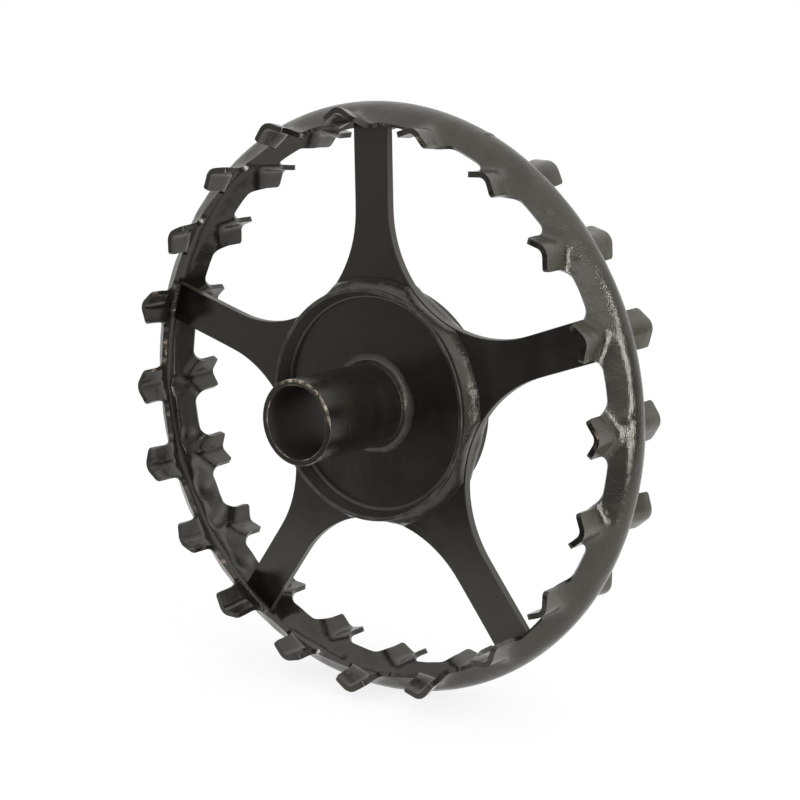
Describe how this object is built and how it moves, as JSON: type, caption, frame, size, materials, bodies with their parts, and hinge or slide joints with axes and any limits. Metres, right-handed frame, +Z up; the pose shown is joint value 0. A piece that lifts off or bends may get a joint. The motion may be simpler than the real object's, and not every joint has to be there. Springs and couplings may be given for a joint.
{
  "type": "crosskill roller ring",
  "caption": "Steel roller ring with an arched rim, V-shaped lugs on both edges, a five-armed plate, dished hub and long hub tube.",
  "frame": {"origin": "on the ring's axis, in the middle of the star plate's thickness", "axes": "+Y along the ring's axis, towards the back; the hub tube stands out towards -Y; +Z up along the first arm"},
  "size_m": [0.4999, 0.1555, 0.5],
  "materials": {
    "rim_paint": "gloss",
    "plate_paint": "satin",
    "dish_paint": "gloss",
    "tube_paint": "satin",
    "weld_paint": "gloss"
  },
  "bodies": {
    "root": {"toothed_rim": "rim_paint", "rim_seam_weld": "weld_paint", "star_plate": "plate_paint", "front_hub_dish": "dish_paint", "rear_hub_dish": "dish_paint", "hub_tube": "tube_paint", "front_tube_weld": "weld_paint", "rear_tube_weld": "weld_paint", "front_dish_weld": "weld_paint", "rear_dish_weld": "weld_paint", "arm_1_front_weld": "weld_paint", "arm_1_rear_weld": "weld_paint", "arm_2_front_weld": "weld_paint", "arm_2_rear_weld": "weld_paint", "arm_3_front_weld": "weld_paint", "arm_3_rear_weld": "weld_paint", "arm_4_front_weld": "weld_paint", "arm_4_rear_weld": "weld_paint", "arm_5_front_weld": "weld_paint", "arm_5_rear_weld": "weld_paint"}
  },
  "joints": []
}
